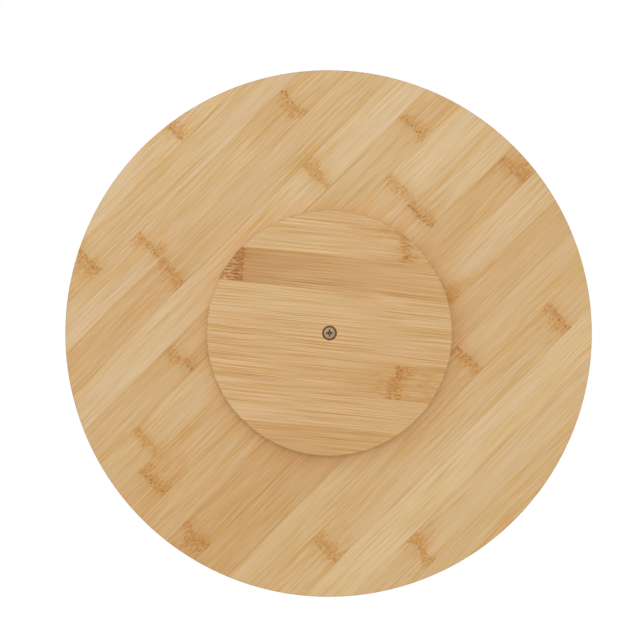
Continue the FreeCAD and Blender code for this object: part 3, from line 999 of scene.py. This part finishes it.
def make_floor():
    """A pale floor that fades out far from the object and isn't seen from below.

    It lets the light from below reach what the camera looks at, and keeps it from what lights the floor,
    so that the floor stays dark under the tray.
    """
    work = bmesh.new()
    bmesh.ops.create_circle(work, cap_ends=True, segments=96, radius=FLOOR_RADIUS)
    floor = as_object(work, "floor")
    floor.data.transform(Matrix.Translation((0, 0, -FLOOR_DROP)))
    material = bpy.data.materials.new("floor")
    shader = emptied(material)
    place = shader.add("TexCoord", out="Object")
    faded = shader.step(shader.length(place), *FLOOR_FADES)
    below = shader.add("NewGeometry", out="Backfacing")
    bounces = shader.add("LightPath", out="Ray Depth")
    bounced = shader.math("GREATER_THAN", bounces, 0.5)
    let_through = shader.times(bounced, shader.step(bounces, 1, 2, 1, FLOOR_SHARE))
    clear = shader.math("MAXIMUM", shader.math("MAXIMUM", faded, below), let_through)
    mottle = shader.noise(place, 3, 3, 3)
    pale = shader.mix(mottle, linear(238, 237, 235), linear(244, 243, 241))
    paint = shader.add("BsdfDiffuse", {"Color": pale})
    shown = shader.add("MixShader", {0: clear, 1: paint, 2: shader.add("BsdfTransparent")})
    shader.node("ShaderNodeOutputMaterial", {"Surface": shown})
    floor.data.materials.append(material)
    floor.visible_glossy = False
    floor.visible_transmission = False


WARM = (1.05, 1.0, 0.93, 1)
COOL = (0.91, 1.0, 1.15, 1)
AMBIENT = 0.46  # the light from all round, 1 being plain
LIT_MIDDLE = Vector((0, 0, 0.014))  # what the lamps face


def make_world():
    """White where it is seen or reflected, and a plain soft light everywhere else."""
    world = bpy.data.worlds.new("studio")
    shader = emptied(world)
    rays = shader.node("ShaderNodeLightPath")
    seen = shader.math("MAXIMUM", rays["Is Camera Ray"], rays["Is Glossy Ray"])
    seen = shader.math("MAXIMUM", seen, rays["Is Transmission Ray"])
    strength = shader.choose(seen, AMBIENT, 1.0)
    tint = shader.mix(seen, WARM, (1, 1, 1, 1))
    sky = shader.add("Background", {"Color": tint, "Strength": strength})
    shader.node("ShaderNodeOutputWorld", {"Surface": sky})
    bpy.context.scene.world = world


def add_lamp(name, place, size, strength, colour):
    """A square soft lamp that faces the object. strength is the light it gives there, 1 being plain."""
    towards = LIT_MIDDLE - Vector(place)
    lamp = bpy.data.lights.new(name, "AREA")
    lamp.shape = "SQUARE"
    lamp.size = size
    lamp.color = colour[:3]
    # White that faces such a lamp is as bright as its power over pi squared and the distance squared.
    lamp.energy = strength * math.pi * math.pi * towards.length ** 2
    made = bpy.data.objects.new(name, lamp)
    made.location = place
    made.rotation_euler = towards.to_track_quat("-Z", "Y").to_euler()
    made.visible_camera = False
    bpy.context.scene.collection.objects.link(made)


def make_lights():
    """Two lamps above for the views from above, and two below for the view of the underside."""
    make_world()
    add_lamp("key_above", (-1.5, -1.8, 3.6), size=2.0, strength=0.42, colour=COOL)
    add_lamp("fill_above", (2.4, 0.5, 2.2), size=2.4, strength=0.28, colour=WARM)
    add_lamp("key_below", (-0.8, -1.11, -3.76), size=4.6, strength=0.31, colour=COOL)
    add_lamp("fill_below", (-0.05, -0.25, -4.0), size=1.2, strength=0.26, colour=WARM)


CAMERA_TURN = math.radians(5.6)
CAMERA_DISTANCE = 0.9645  # from the tray's underside, in metres
# How far off the axis the camera stands and how far off the middle it aims, to its right and upward.
CAMERA_OFF_AXIS = (-math.radians(1.0), -math.radians(0.1))
CAMERA_AIM = (-5.17 * MM, 7.46 * MM)
CAMERA_LENS = 95.3  # the focal length and the width of the sensor, in mm
CAMERA_SENSOR = 36


def make_camera():
    """Below the object, nearly on its axis, looking up at its underside."""
    right = Vector((math.cos(CAMERA_TURN), -math.sin(CAMERA_TURN), 0))
    upward = Vector((-math.sin(CAMERA_TURN), -math.cos(CAMERA_TURN), 0))
    target = Vector((0, 0, TRAY.low * MM))
    place = target - Vector((0, 0, CAMERA_DISTANCE))
    place += right * CAMERA_DISTANCE * math.tan(CAMERA_OFF_AXIS[0])
    place += upward * CAMERA_DISTANCE * math.tan(CAMERA_OFF_AXIS[1])
    aim = target + right * CAMERA_AIM[0] + upward * CAMERA_AIM[1]
    back = (place - aim).normalized()
    side = upward.cross(back).normalized()
    over = back.cross(side)
    lens = bpy.data.cameras.new("camera")
    lens.lens = CAMERA_LENS
    lens.sensor_width = CAMERA_SENSOR
    camera = bpy.data.objects.new("camera", lens)
    camera.matrix_world = Matrix.Translation(place) @ Matrix((side, over, back)).transposed().to_4x4()
    bpy.context.scene.collection.objects.link(camera)
    bpy.context.scene.camera = camera


finish_boards()
finish_bearing()
make_screw()
make_floor()
make_lights()
make_camera()
bpy.context.scene.view_settings.view_transform = "Standard"
